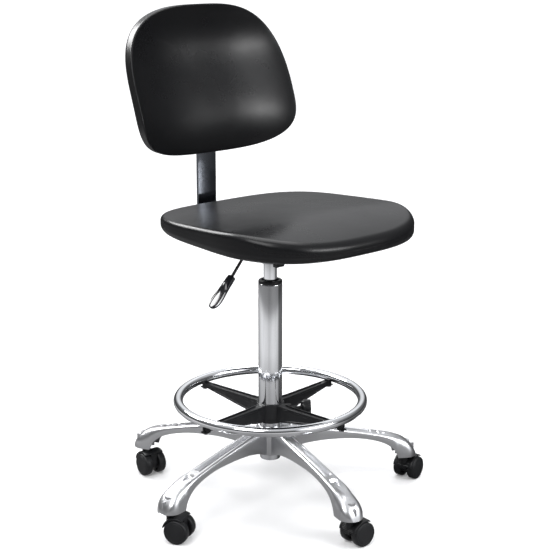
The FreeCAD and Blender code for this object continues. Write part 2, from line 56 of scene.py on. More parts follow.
# ---------------------------------------------------------------- materials
class Nodes:
    """Small helper that wires shader nodes of one material."""

    def __init__(self, material):
        material.use_nodes = True
        self.tree = material.node_tree
        self.shader = self.tree.nodes["Principled BSDF"]
        self.place = self.tree.nodes.new("ShaderNodeTexCoord").outputs["Object"]

    def link(self, out, into):
        self.tree.links.new(out, into)

    def stretched(self, scale):
        mapping = self.tree.nodes.new("ShaderNodeMapping")
        mapping.inputs["Scale"].default_value = scale
        self.link(self.place, mapping.inputs["Vector"])
        return mapping.outputs["Vector"]

    def noise(self, scale, detail=4.0, rough=0.55, warp=0.0, stretch=None):
        node = self.tree.nodes.new("ShaderNodeTexNoise")
        node.inputs["Scale"].default_value = scale
        node.inputs["Detail"].default_value = detail
        node.inputs["Roughness"].default_value = rough
        node.inputs["Distortion"].default_value = warp
        self.link(self.stretched(stretch) if stretch else self.place, node.inputs["Vector"])
        return node.outputs["Fac"]

    def ramp(self, value, stops):
        """A colour ramp; stops are (position, colour)."""
        node = self.tree.nodes.new("ShaderNodeValToRGB")
        elements = node.color_ramp.elements
        while len(elements) < len(stops):
            elements.new(0.5)
        for element, (position, colour) in zip(elements, stops):
            element.position = position
            element.color = (*colour, 1.0)
        self.link(value, node.inputs["Fac"])
        return node.outputs["Color"]

    def spread(self, value, low, high, start=0.3, end=0.7):
        """value from start to end turned into low to high."""
        node = self.tree.nodes.new("ShaderNodeMapRange")
        node.inputs["From Min"].default_value = start
        node.inputs["From Max"].default_value = end
        node.inputs["To Min"].default_value = low
        node.inputs["To Max"].default_value = high
        self.link(value, node.inputs["Value"])
        return node.outputs["Result"]

    def blend(self, share, first, second):
        node = self.tree.nodes.new("ShaderNodeMix")
        node.data_type = "RGBA"
        self.link(share, node.inputs["Factor"])
        self.link(first, node.inputs["A"])
        self.link(second, node.inputs["B"])
        return node.outputs["Result"]

    def gradient(self, kind, stretch=None):
        node = self.tree.nodes.new("ShaderNodeTexGradient")
        node.gradient_type = kind
        self.link(self.stretched(stretch) if stretch else self.place, node.inputs["Vector"])
        return node.outputs["Fac"]

    def product(self, first, second):
        """Two colours multiplied."""
        node = self.tree.nodes.new("ShaderNodeMix")
        node.data_type = "RGBA"
        node.blend_type = "MULTIPLY"
        node.inputs["Factor"].default_value = 1.0
        self.link(first, node.inputs["A"])
        self.link(second, node.inputs["B"])
        return node.outputs["Result"]

    def total(self, first, second):
        node = self.tree.nodes.new("ShaderNodeMath")
        node.operation = "ADD"
        self.link(first, node.inputs[0])
        self.link(second, node.inputs[1])
        return node.outputs["Value"]

    def bump(self, height, strength, distance, onto=None):
        node = self.tree.nodes.new("ShaderNodeBump")
        node.inputs["Strength"].default_value = strength
        node.inputs["Distance"].default_value = distance
        self.link(height, node.inputs["Height"])
        if onto is not None:
            self.link(onto, node.inputs["Normal"])
        return node.outputs["Normal"]


def shade(colour, share):
    return tuple(channel * share for channel in colour)


def plain_finish(name, colour, metallic, specular, roughness, mottle, marks, grain, coat=0.0):
    """A procedural finish.

    mottle: (scale, share) colour variation; roughness: (low, high, scale, stretch);
    marks: (scale, start, end, colour) of faint rubbed patches, or None;
    grain: list of (scale, strength, distance, stretch) bump layers."""
    material = bpy.data.materials.new(name)
    nodes = Nodes(material)
    shader = nodes.shader.inputs
    shader["Metallic"].default_value = metallic
    shader["Specular IOR Level"].default_value = specular
    shader["Coat Weight"].default_value = coat
    shader["Coat Roughness"].default_value = 0.25

    patches = nodes.noise(mottle[0], detail=5.0, warp=0.4)
    tint = nodes.ramp(patches, [(0.3, shade(colour, 1 - mottle[1])), (0.7, shade(colour, 1 + mottle[1]))])
    rough_low, rough_high, rough_scale, rough_stretch = roughness
    rough = nodes.spread(nodes.noise(rough_scale, detail=6.0, stretch=rough_stretch), rough_low, rough_high)
    if marks:
        scale, start, end, worn = marks
        rubbed = nodes.spread(nodes.noise(scale, detail=8.0, rough=0.7, warp=1.2), 0.0, 1.0, start, end)
        worn_tint = nodes.ramp(patches, [(0.3, shade(worn, 0.9)), (0.7, worn)])
        tint = nodes.blend(rubbed, tint, worn_tint)
        rough = nodes.total(rough, nodes.spread(rubbed, 0.0, 0.12, 0.0, 1.0))
    nodes.link(tint, shader["Base Color"])
    nodes.link(rough, shader["Roughness"])
    normal = None
    for scale, strength, distance, stretch in grain:
        normal = nodes.bump(nodes.noise(scale, detail=3.0, stretch=stretch), strength, distance, normal)
    nodes.link(normal, shader["Normal"])
    return material


def wood_finish(name):
    """Black-stained plywood."""
    material = bpy.data.materials.new(name)
    nodes = Nodes(material)
    growth = nodes.noise(26.0, detail=5.0, warp=0.6, stretch=(1.0, 0.12, 1.0))
    tint = nodes.ramp(growth, [(0.30, (0.010, 0.009, 0.008)), (0.52, (0.016, 0.014, 0.012)),
                               (0.72, (0.026, 0.022, 0.018))])
    nodes.link(tint, nodes.shader.inputs["Base Color"])
    nodes.link(nodes.spread(growth, 0.55, 0.75), nodes.shader.inputs["Roughness"])
    fibre = nodes.noise(240.0, detail=4.0, stretch=(1.0, 0.06, 1.0))
    nodes.link(nodes.bump(fibre, 0.35, 0.0004), nodes.shader.inputs["Normal"])
    return material


def make_finishes():
    """One procedural material for each material slot of the record, and a darker chrome for the back bar
    whose lowered colour paints shade over its reflections.
    """
    return {
        "cast_aluminium": plain_finish(
            "cast_aluminium", (0.60, 0.605, 0.62), 1.0, 0.5, (0.28, 0.36, 24.0, (1.0, 1.0, 0.25)),
            (14.0, 0.04), (20.0, 0.70, 0.92, (0.52, 0.52, 0.53)),
            [(16.0, 0.03, 0.0010, None), (900.0, 0.03, 0.0001, None)]),
        "chrome_plate": plain_finish(
            "chrome_plate", (0.77, 0.78, 0.80), 1.0, 0.5, (0.05, 0.11, 9.0, None),
            (6.0, 0.03), (16.0, 0.76, 0.98, (0.60, 0.60, 0.61)),
            [(18.0, 0.02, 0.0005, None), (420.0, 0.02, 0.0001, (1.0, 1.0, 0.05))]),
        # a copy of chrome_plate with its colour lowered: painted shade that dims the back bar's reflections
        "shade_painted_chrome": plain_finish(
            "shade_painted_chrome", (0.29, 0.31, 0.35), 1.0, 0.5, (0.08, 0.14, 9.0, None),
            (6.0, 0.03), (16.0, 0.76, 0.98, (0.32, 0.33, 0.35)),
            [(18.0, 0.02, 0.0003, None), (420.0, 0.02, 0.0001, (1.0, 1.0, 0.05))]),
        "skinned_foam": plain_finish(
            "skinned_foam", (0.0050, 0.0051, 0.0057), 0.0, 0.20, (0.25, 0.33, 7.0, None),
            (5.0, 0.16), (11.0, 0.60, 0.85, (0.010, 0.010, 0.011)),
            [(16.0, 0.18, 0.0020, None), (1500.0, 0.16, 0.00012, None)]),
        "wheel_nylon": plain_finish(
            "wheel_nylon", (0.0080, 0.0083, 0.0095), 0.0, 0.30, (0.40, 0.52, 30.0, None),
            (40.0, 0.2), (55.0, 0.58, 0.80, (0.018, 0.018, 0.019)),
            [(60.0, 0.10, 0.0010, None), (2200.0, 0.16, 0.0001, None)]),
        "black_nylon": plain_finish(
            "black_nylon", (0.0065, 0.0068, 0.0078), 0.0, 0.30, (0.34, 0.46, 24.0, None),
            (30.0, 0.2), (40.0, 0.60, 0.82, (0.014, 0.014, 0.015)),
            [(40.0, 0.10, 0.0010, None), (2600.0, 0.20, 0.0001, None)]),
        "gloss_nylon": plain_finish(
            "gloss_nylon", (0.008, 0.0085, 0.0105), 0.0, 0.36, (0.12, 0.20, 20.0, None),
            (30.0, 0.2), (60.0, 0.66, 0.86, (0.030, 0.030, 0.032)),
            [(50.0, 0.06, 0.0008, None), (1500.0, 0.03, 0.0001, None)], coat=0.1),
        "plywood": wood_finish("plywood"),
        "zinc_casting": plain_finish(
            "zinc_casting", (0.50, 0.51, 0.53), 1.0, 0.5, (0.34, 0.50, 30.0, None),
            (26.0, 0.14), (34.0, 0.58, 0.80, (0.36, 0.35, 0.34)),
            [(120.0, 0.25, 0.0008, None), (1200.0, 0.25, 0.0002, None)]),
        "pressed_steel": plain_finish(
            "pressed_steel", (0.56, 0.565, 0.58), 1.0, 0.5, (0.24, 0.38, 22.0, (1.0, 0.2, 1.0)),
            (18.0, 0.10), (26.0, 0.58, 0.80, (0.42, 0.41, 0.40)),
            [(60.0, 0.10, 0.0008, None), (700.0, 0.08, 0.0002, (1.0, 0.1, 1.0))]),
        "bright_steel": plain_finish(
            "bright_steel", (0.60, 0.60, 0.62), 1.0, 0.5, (0.20, 0.32, 60.0, (1.0, 1.0, 0.2)),
            (40.0, 0.08), (70.0, 0.60, 0.80, (0.44, 0.43, 0.42)),
            [(300.0, 0.08, 0.0002, None), (1800.0, 0.08, 0.0001, None)]),
    }


FINISH = make_finishes()


# ---------------------------------------------------------------- mesh helpers
def mesh_object(name, verts, faces, sharp_deg=38.0):
    """A smooth-shaded mesh from points in millimetres, with its edges sharp beyond an angle."""
    mesh = bpy.data.meshes.new(name)
    mesh.from_pydata([tuple(value * MM for value in v) for v in verts], [], faces)
    mesh.update()
    built = bmesh.new()
    built.from_mesh(mesh)
    bmesh.ops.remove_doubles(built, verts=built.verts, dist=0.00002)
    bmesh.ops.recalc_face_normals(built, faces=built.faces)
    mark_sharp(built, sharp_deg)
    built.to_mesh(mesh)
    built.free()
    obj = bpy.data.objects.new(name, mesh)
    bpy.context.scene.collection.objects.link(obj)
    return obj


def mark_sharp(built, sharp_deg):
    limit = math.radians(sharp_deg)
    for face in built.faces:
        face.smooth = True
    for edge in built.edges:
        if len(edge.link_faces) == 2:
            edge.smooth = edge.calc_face_angle(0.0) < limit


class Shape:
    """Verts and faces gathered before they become one mesh."""

    def __init__(self):
        self.verts = []
        self.faces = []

    def skin(self, rows, loop=True, ends=(False, False)):
        """A surface through rows of points. loop closes each row; ends caps the first and last."""
        start = len(self.verts)
        width = len(rows[0])
        for row in rows:
            self.verts.extend(row)
        across = width if loop else width - 1
        for i in range(len(rows) - 1):
            a = start + i * width
            b = a + width
            for j in range(across):
                k = (j + 1) % width
                self.faces.append((a + j, a + k, b + k, b + j))
        if ends[0]:
            self.faces.append(tuple(start + j for j in reversed(range(width))))
        if ends[1]:
            last = start + (len(rows) - 1) * width
            self.faces.append(tuple(last + j for j in range(width)))
        return self

    def lathe(self, profile, segments=96, place=Matrix.Identity(4)):
        """Turn a closed outline of (radius, height) about Z, then place it."""
        rows = []
        for k in range(segments):
            angle = 2 * math.pi * k / segments
            rows.append([place @ Vector((r * math.cos(angle), r * math.sin(angle), h))
                         for r, h in profile])
        rows.append(rows[0])
        return self.skin(rows)

    def block(self, low, high, place=Matrix.Identity(4)):
        corners = [Vector((x, y, z)) for z in (low[2], high[2]) for y in (low[1], high[1])
                   for x in (low[0], high[0])]
        start = len(self.verts)
        self.verts.extend(place @ corner for corner in corners)
        for face in ((0, 2, 3, 1), (4, 5, 7, 6), (0, 1, 5, 4), (2, 6, 7, 3), (0, 4, 6, 2), (1, 3, 7, 5)):
            self.faces.append(tuple(start + i for i in face))
        return self

    def prism(self, outline, z0, z1, place=Matrix.Identity(4)):
        """An outline of (x, y) points raised from z0 to z1."""
        rows = [[place @ Vector((x, y, z)) for x, y in outline] for z in (z0, z1)]
        return self.skin(rows, ends=(True, True))

    def make(self, name, sharp_deg=38.0):
        return mesh_object(name, self.verts, self.faces, sharp_deg)


def soften(obj, width_mm, limit_deg=40.0):
    """A bevel along the sharp edges."""
    bevel = obj.modifiers.new("soft_edges", "BEVEL")
    bevel.width = width_mm * MM
    bevel.segments = 2
    bevel.limit_method = "ANGLE"
    bevel.angle_limit = math.radians(limit_deg)
    bevel.harden_normals = True
    return obj


def stand_in(obj, *nodes):
    """obj is shown for these CAD nodes: it rides on their body and takes their finish."""
    slot = SLOT_OF_NODE[nodes[0]]
    obj.data.materials.clear()
    obj.data.materials.append(FINISH[slot])
    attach(obj, BODY_OF_NODE[nodes[0]])
    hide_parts(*nodes)
    return obj


def smooth_line(points, steps=12):
    """A smooth open line through points, as many short pieces."""
    ends = [2 * Vector(points[0]) - Vector(points[1])] + [Vector(p) for p in points]
    ends.append(2 * ends[-1] - ends[-2])
    line = []
    for a, b, c, d in zip(ends, ends[1:], ends[2:], ends[3:]):
        for k in range(steps):
            t = k / steps
            line.append(0.5 * ((2 * b) + (c - a) * t + (2 * a - 5 * b + 4 * c - d) * t * t
                               + (3 * b - a - 3 * c + d) * t ** 3))
    line.append(ends[-2])
    return line


def look_up(line, x):
    """Height of a line of (x, height) points at x."""
    if x <= line[0][0]:
        return line[0][1]
    for (x0, h0), (x1, h1) in zip(line, line[1:]):
        if x <= x1:
            return h0 + (h1 - h0) * (x - x0) / max(x1 - x0, 1e-9)
    return line[-1][1]


def table(points):
    return [(p.x, p.y) for p in smooth_line([(r, h, 0) for r, h in points])]


def ease(x, start, end):
    """0 before start, 1 after end, smooth between."""
    t = min(max((x - start) / (end - start), 0.0), 1.0)
    return t * t * (3 - 2 * t)


def mixed(a, b, share):
    return a + (b - a) * share


def about_z(degrees):
    return Matrix.Rotation(math.radians(degrees), 4, "Z")


def along(direction, start):
    """A placing that turns +Z to direction and moves the origin to start."""
    turn = Vector((0, 0, 1)).rotation_difference(Vector(direction)).to_matrix().to_4x4()
    return Matrix.Translation(Vector(start)) @ turn


def arc(radius, start_deg, end_deg, steps, centre=(0.0, 0.0)):
    points = []
    for k in range(steps + 1):
        angle = math.radians(mixed(start_deg, end_deg, k / steps))
        points.append((centre[0] + radius * math.cos(angle), centre[1] + radius * math.sin(angle)))
    return points


def round_rect(half_x, half_y, radius, steps=6):
    points = []
    for quarter, (sx, sy) in enumerate(((1, 1), (-1, 1), (-1, -1), (1, -1))):
        centre = (sx * (half_x - radius), sy * (half_y - radius))
        points += arc(radius, 90 * quarter, 90 * quarter + 90, steps, centre)
    return points


def tube(shape, path, radius, segments=20, caps=(True, True)):
    """A round bar along a line of points, with its section carried without twist."""
    tangents = [(b - a).normalized() for a, b in zip(path, path[1:])]
    tangents.append(tangents[-1])
    side = tangents[0].orthogonal().normalized()
    rows = []
    for i, point in enumerate(path):
        heading = tangents[i] if i == 0 else (tangents[i - 1] + tangents[i]).normalized()
        side = (side - heading * side.dot(heading)).normalized()
        other = heading.cross(side)
        rows.append([point + side * (radius * math.cos(2 * math.pi * k / segments))
                     + other * (radius * math.sin(2 * math.pi * k / segments))
                     for k in range(segments)])
    return shape.skin(rows, ends=caps)


def round_corners(points, radius, steps=8):
    """A line of straight runs with its corners rounded."""
    points = [Vector(p) for p in points]
    line = [points[0]]
    for a, b, c in zip(points, points[1:], points[2:]):
        reach = min(radius, (a - b).length / 2, (c - b).length / 2)
        start = b + (a - b).normalized() * reach
        end = b + (c - b).normalized() * reach
        for k in range(steps + 1):
            t = k / steps
            line.append(start.lerp(b, t).lerp(b.lerp(end, t), t))
    line.append(points[-1])
    return line


# ---------------------------------------------------------------- five-star base
ARM_FIRST_DEG = 43.0
STEM_CIRCLE_R = 301.0
ARM_FLOOR_Z = 60.0
NOSE_R = 326.0
ARM_TOP = table([(20, 153), (60, 149.5), (100, 143.5), (140, 136.5), (185, 127.5), (230, 118),
                 (268, 110), (293, 101), (311, 87), (321, 72), (326, 56)])
ARM_UNDER = table([(20, 94), (60, 108), (100, 114), (140, 114.5), (180, 112), (212, 106.5),
                   (242, 98), (262, 87), (275, 73), (281, 56)])
# narrower at the hub than the CAD's arms, so that the round hub shows between the two front arms
ARM_HALF = table([(20, 14.5), (60, 16.0), (100, 16.8), (140, 16.3), (185, 15.8), (225, 16.8),
                  (258, 20), (282, 24), (300, 25.5)])
ARM_WALL = 4.0
# along each arm's back, the radii where the long channel and the short pocket start and end
CHANNEL = (40.0, 224.0)
POCKET = (236.0, 266.0)
CHANNEL_HALF = 8.6
CHANNEL_DEPTH = 10.0
POCKET_DEPTH = 6.0
HUB_OUTLINE = [(22.5, 95.6), (30.4, 95.0), (31.6, 96.2), (32.0, 98.5), (32.0, 148.2), (31.4, 150.6),
               (30.2, 151.8), (25.5, 152.0), (25.1, 151.4)]


def arm_half_width(r):
    if r <= STEM_CIRCLE_R:
        return look_up(ARM_HALF, min(r, 300.0))
    share = (r - STEM_CIRCLE_R) / (NOSE_R - STEM_CIRCLE_R)
    return 25.5 * math.sqrt(max(1 - share * share, 0.0))


def channel_at(r):
    """Half width and depth of the channel in the arm's back at radius r."""
    room = arm_half_width(r) - 6.0
    inner = ease(r, CHANNEL[0], CHANNEL[0] + 14) * (1 - ease(r, CHANNEL[1] - 6, CHANNEL[1]))
    outer = ease(r, POCKET[0], POCKET[0] + 5) * (1 - ease(r, POCKET[1] - 14, POCKET[1]))
    if r < (CHANNEL[1] + POCKET[0]) / 2:
        return min(CHANNEL_HALF, room), CHANNEL_DEPTH * inner
    narrow = mixed(CHANNEL_HALF + 0.8, 1.5, ease(r, POCKET[0] + 4, POCKET[1]) ** 1.2)
    return narrow, POCKET_DEPTH * outer


def corner_point(angle, power):
    """A point of a quarter superellipse in the direction angle, as shares of its half axes."""
    c, s = math.cos(angle), math.sin(angle)
    size = (c ** power + s ** power) ** (1 / power)
    return c / size, s / size


def arm_section(r):
    """Closed outline across the arm at radius r: over its back, then back along the hollow."""
    half = arm_half_width(r)
    top = look_up(ARM_TOP, r)
    low = max(look_up(ARM_UNDER, r), ARM_FLOOR_Z)
    top = max(top, low + 0.4)
    power = mixed(6.0, 2.9, ease(r, 215, 296))
    c_half, depth = channel_at(r)
    c_half = min(c_half, 0.6 * half)
    edge = c_half / max(half, 0.01)
    limit = math.pi / 2
    for _ in range(24):
        if corner_point(limit, power)[0] < edge:
            limit *= 0.985
        else:
            break
    outer = []
    for k in range(19):
        u, v = corner_point(limit * k / 18, power)
        outer.append((half * u, low + (top - low) * v))
    for k in (0.97, 0.93, 0.88, 0.82, 0.76, 0.68, 0.5, 0.25):
        x = c_half * k
        lid = low + (top - low) * max(1 - (x / max(half, 0.01)) ** power, 0.0) ** (1 / power)
        outer.append((x, lid - depth * (1 - ease(k, 0.62, 1.0))))
    lid = top - depth
    outer = outer + [(0.0, lid)] + [(-x, z) for x, z in reversed(outer)]
    hollow = ease(r, 50, 58) * (1 - ease(r, 318, 322))
    inner_half = max(half - ARM_WALL, 0.3 * half)
    inner_top = low + max(top - ARM_WALL - low, 0.0) * hollow
    inner = []
    for k in range(13):
        u, v = corner_point(math.pi / 2 * k / 12, power)
        x = inner_half * u
        dip = depth * hollow * (1 - ease(x, c_half, c_half + 4))
        inner.append((x, max(low + (inner_top - low) * v - dip * v, low)))
    inner = [(-x, z) for x, z in inner] + list(reversed(inner[:-1]))
    return outer + inner


def arm_rows():
    radii = [20 + 2.0 * k for k in range(141)]
    radii += [STEM_CIRCLE_R + 24.9 * math.sin(math.pi / 2 * k / 16) for k in range(1, 17)]
    return [[Vector((r, x, z)) for x, z in arm_section(r)] for r in radii]


def make_star_base():
    shape = Shape()
    rows = arm_rows()
    for k in range(5):
        turn = about_z(ARM_FIRST_DEG + 72 * k)
        shape.skin([[turn @ p for p in row] for row in rows], ends=(True, True))
        stem = turn @ Matrix.Translation((STEM_CIRCLE_R, 0, 0))
        shape.lathe([(5.6, 60.2), (9.6, 60.2), (10.5, 61), (10.5, 92), (5.6, 92)], 40, stem)
        for rib in (0, 90, 180, 270):
            shape.block((9.5, -1.4, 62), (21.0, 1.4, 84), stem @ about_z(rib))
    shape.lathe(HUB_OUTLINE, 128)
    stand_in(shape.make("star_base_cast", 32.0), "star_hub", "star_arms")


# ---------------------------------------------------------------- casters
CASTER_DEG = (171.0, -95.0, -62.0, -3.0, 12.0)
TRAIL = 20.0
AXLE_Z = 25.0
HOOD_R = 29.6
HOOD_MID_R = 27.9
HOOD_FROM_DEG = 60.0
HOOD_TO_DEG = 167.0
HOOD_STEPS = 90
RIB_DEPTH = 0.85
RIB_STEPS = 5.0


def hood_shape(place):
    """Hood of a twin-wheel caster: stem axis on Z, wheels trailing along +X."""
    shape = Shape()
    rows = []
    for k in range(HOOD_STEPS + 1):
        share = k / HOOD_STEPS
        angle = math.radians(mixed(HOOD_FROM_DEG, HOOD_TO_DEG, share))
        end = min(share, 1 - share) * HOOD_STEPS
        lift = 1.0 - 0.5 * max(0.0, 1 - end / 2.0)
        rib_zone = ease(share, 0.56, 0.60) * (1 - ease(share, 0.93, 0.96))
        groove = RIB_DEPTH * rib_zone * (0.5 - 0.5 * math.cos(2 * math.pi * k / RIB_STEPS))
        section = [(-23.0, 26.4), (-23.0, 28.0), (-22.4, 29.0), (-21.0, HOOD_R), (-16.5, HOOD_R),
                   (-15.5, HOOD_R - groove), (15.5, HOOD_R - groove), (16.5, HOOD_R), (21.0, HOOD_R),
                   (22.4, 29.0), (23.0, 28.0), (23.0, 26.4)]
        row = []
        for y, rho in section:
            rho = HOOD_MID_R + (rho - HOOD_MID_R) * lift
            row.append(place @ Vector((TRAIL + rho * math.cos(angle), y, AXLE_Z + rho * math.sin(angle))))
        rows.append(row)
    shape.skin(rows, ends=(True, True))
    web = arc(HOOD_R - 0.8, 62, 168, 26, (TRAIL, AXLE_Z)) + [(-8.0, 27.5)]
    web += arc(15.0, 190, 385, 24, (TRAIL, AXLE_Z))
    tilt = Matrix.Rotation(math.pi / 2, 4, "X")
    shape.prism(web, -8.1, 8.1, place @ tilt)
    collar = [(5.6, 26.0), (8.1, 26.0), (8.1, 54.0), (9.6, 55.2), (9.6, 56.4), (9.0, 57.0), (5.6, 57.0)]
    shape.lathe(collar, 48, place)
    return shape


def wheel_shape(place, side):
    """One wheel of a twin caster; its domed face looks along side."""
    shape = Shape()
    profile = [(3.1, 1.5), (3.1, -8.5), (8.0, -8.5), (9.5, -3.0), (18.6, -3.0), (19.6, -7.2), (20.4, -8.2),
               (22.4, -8.4), (24.0, -7.6), (24.8, -6.0), (25.0, -4.2), (25.0, 4.0), (24.8, 5.6), (24.1, 6.9),
               (22.9, 7.8), (21.2, 8.15), (20.2, 8.1), (19.85, 7.75), (19.5, 7.75), (19.1, 8.15),
               (17.0, 8.30), (12.0, 8.46), (6.0, 8.50), (0.0, 8.50), (0.0, 1.5)]
    turn = Matrix.Rotation(-side * math.pi / 2, 4, "X")
    shape.lathe(profile, 96, place @ turn)
    return shape


def make_casters():
    for k in range(5):
        foot = about_z(ARM_FIRST_DEG + 72 * k) @ Vector((STEM_CIRCLE_R, 0, 0))
        place = Matrix.Translation(foot) @ about_z(CASTER_DEG[k])
        hood = hood_shape(place).make(f"hood_{k + 1}", 34.0)
        soften(hood, 0.5)
        stand_in(hood, f"caster_hood_{k + 1}")
        for label, side in (("a", 1), ("b", -1)):
            spot = place @ Matrix.Translation((TRAIL, side * 17.0, AXLE_Z))
            wheel = wheel_shape(spot, side).make(f"wheel_{label}_{k + 1}", 40.0)
            stand_in(wheel, f"caster_wheel_{label}_{k + 1}")


# ---------------------------------------------------------------- gas lift
def make_column():
    tube_outline = [(5.2, 84.0), (14.0, 84.0), (14.0, 80.8), (14.8, 80.0), (19.6, 80.0), (20.9, 80.6),
                    (21.6, 82.0), (22.0, 84.5), (22.3, 95.0), (25.0, 152.0), (25.0, 462.6), (24.8, 464.0),
                    (24.1, 464.9), (23.2, 465.0), (20.7, 465.0), (20.7, 152.0), (19.1, 152.0),
                    (19.1, 94.0), (5.2, 94.0)]
    stand_in(Shape().lathe(tube_outline, 160).make("lift_tube", 30.0), "column_tube")
    bush = [(14.2, 386.0), (20.4, 386.0), (20.4, 465.2), (24.5, 465.2), (24.9, 465.9), (24.9, 468.6),
            (24.3, 470.6), (22.8, 471.8), (20.6, 472.0), (18.4, 471.4), (17.2, 469.4), (16.4, 467.0),
            (14.2, 467.0)]
    stand_in(Shape().lathe(bush, 128).make("lift_bush", 30.0), "guide_bush")
    inner = [(5.2, 122.4), (12.6, 122.0), (13.6, 122.6), (14.0, 124.0), (14.0, 508.0), (13.0, 547.4),
             (12.5, 548.0), (3.1, 548.0), (3.1, 503.0), (11.8, 503.0), (11.8, 130.0), (5.2, 130.0)]
    stand_in(Shape().lathe(inner, 128).make("lift_cylinder", 30.0), "inner_cylinder")


# ---------------------------------------------------------------- foot ring
RING_R = 194.0
RING_TUBE_R = 10.0
RING_Z = 212.0
SPOKE_FIRST_DEG = 6.0
KNOB_DEG = -39.0


def make_foot_ring():
    rows = []
    steps = 240
    seam_at = math.radians(SPOKE_FIRST_DEG + 90)
    for k in range(steps):
        angle = 2 * math.pi * k / steps
        off = abs((angle - seam_at + math.pi) % (2 * math.pi) - math.pi) * RING_R
        swell = 0.18 * math.exp(-(off / 2.2) ** 2)
        radius = RING_TUBE_R - 0.05 + swell
        row = []
        for j in range(40):
            turn = 2 * math.pi * j / 40
            out = RING_R + radius * math.cos(turn)
            row.append(Vector((out * math.cos(angle), out * math.sin(angle),
                               RING_Z + radius * math.sin(turn))))
        rows.append(row)
    rows.append(rows[0])
    stand_in(Shape().skin(rows).make("ring_tube", 60.0), "foot_ring")


def spoke_rows():
    """One spoke along +X: deep at the hub, a groove between two ridges along its back."""
    rows = []
    top_line = [(24, 205.0), (60, 204.0), (200, 204.0)]
    low_line = [(24, 167.0), (60, 173.0), (184, 193.4), (200, 194.0)]
    half_line = [(20, 11.0), (60, 8.5), (200, 6.5)]
    for k in range(71):
        r = mixed(24.0, 200.0, k / 70)
        nose = min(max((r - 193.0) / 7.0, 0.0), 1.0)
        close = math.sqrt(max(1 - nose * nose, 0.0))
        half = max(look_up(half_line, r) * close, 0.3)
        top = look_up(top_line, r) - 2.0 * (1 - close)
        low = look_up(low_line, r) + 2.5 * (1 - close)
        dip = 3.2 * ease(r, 30, 44) * (1 - ease(r, 168, 178))
        side_dip = 1.1 * ease(r, 36, 50) * (1 - ease(r, 160, 172))
        mid = mixed(low, top, 0.5)
        waist = half - side_dip
        section = [(half - 1.0, low), (half, low + 1.0), (half, low + 3.4), (waist, low + 4.8), (waist, mid),
                   (waist, top - 5.6), (half, top - 4.2), (half, top - 1.2), (half - 0.9, top),
                   (half - 2.3, top), (half - 3.1, top - dip), (0.0, top - dip)]
        full = section + [(-x, z) for x, z in reversed(section[:-1])]
        rows.append([Vector((r, x, z)) for x, z in full])
    return rows


def make_spider():
    shape = Shape()
    rows = spoke_rows()
    for k in range(4):
        turn = about_z(SPOKE_FIRST_DEG + 90 * k)
        shape.skin([[turn @ p for p in row] for row in rows], ends=(True, True))
    hub = [(25.1, 166.6), (26.0, 166.0), (30.6, 166.0), (31.4, 166.8), (31.5, 170.6), (31.0, 171.8),
           (29.6, 172.6), (29.5, 174.0), (29.5, 203.2), (29.0, 205.0), (27.6, 206.0), (26.0, 206.0),
           (25.1, 205.2)]
    shape.lathe(hub, 128)
    way = about_z(KNOB_DEG) @ Vector((1, 0, 0))
    boss = [(4.2, 26.0), (9.0, 26.0), (9.0, 42.6), (8.2, 43.8), (4.2, 43.8)]
    shape.lathe(boss, 48, along(way, (0, 0, 190.0)))
    spider = shape.make("ring_spider", 32.0)
    stand_in(soften(spider, 0.45), "footring_spider")


KNOB_R = 18.0
KNOB_T = 22.0
KNOB_LOBES = 6


def lobed_knob(name, node, start, direction, stud):
    """A hand knob: a stud from start along direction, then a lobed grip with a domed cap."""
    shape = Shape()
    place = along(direction, start)
    levels = [(0.30, 0.2), (0.42, 0.6), (0.70, 2.6), (0.90, 4.4), (0.985, 6.6), (1.0, 9.0),
              (1.0, KNOB_T - 4.5), (0.985, KNOB_T - 2.2), (0.94, KNOB_T - 0.8), (0.86, KNOB_T - 0.1),
              (0.72, KNOB_T), (0.60, KNOB_T - 0.5), (0.56, KNOB_T - 1.3), (0.30, KNOB_T - 1.3),
              (0.0, KNOB_T - 1.3)]
    rows = []
    count = 120
    for share, height in levels:
        row = []
        for k in range(count):
            angle = 2 * math.pi * k / count
            scallop = max(math.cos(KNOB_LOBES * angle), 0.0) ** 1.6
            depth = 0.17 * ease(share, 0.5, 0.95)
            r = KNOB_R * share * (1 - depth * scallop)
            row.append(place @ Vector((r * math.cos(angle), r * math.sin(angle), stud + height)))
        rows.append(row)
    shape.skin(rows, ends=(True, False))
    shape.lathe([(0.0, 0.0), (3.4, 0.0), (4.0, 0.7), (4.0, stud + 1.0), (0.0, stud + 1.0)], 40, place)
    return stand_in(shape.make(name, 32.0), node)


def upper_frame():
    """Foot of the bar's leaning part, the way it runs, and the way its rear face looks."""
    lean = math.radians(BAR_LEAN_DEG)
    return (Vector((0, BAR_UPRIGHT_Y, BAR_KINK_Z)), Vector((0, math.sin(lean), math.cos(lean))),
            Vector((0, math.cos(lean), -math.sin(lean))))


def make_knobs():
    way = about_z(KNOB_DEG) @ Vector((1, 0, 0))
    lobed_knob("ring_knob", "clamp_knob", way * 25.6 + Vector((0, 0, 190.0)), way, 38)
    lobed_knob("channel_knob", "depth_knob", (0, 120.0, 563.3), (0, 0, -1), 18)
    foot, run, out = upper_frame()
    lobed_knob("back_knob", "height_knob", foot + run * 80 + out * 3.4, out, 14)


# ---------------------------------------------------------------- back bar
BAR_HALF_W = 25.0
BAR_T = 6.0
BAR_FOOT_Z = 566.7
BAR_UPRIGHT_Y = 204.5
BAR_BEND_R = 30.0
BAR_KINK_Z = 728.0
BAR_LEAN_DEG = 10.0
BAR_UPPER_LEN = 138.0
BAR_EDGE_R = 1.3
BAR_TOP_ROUND = 12


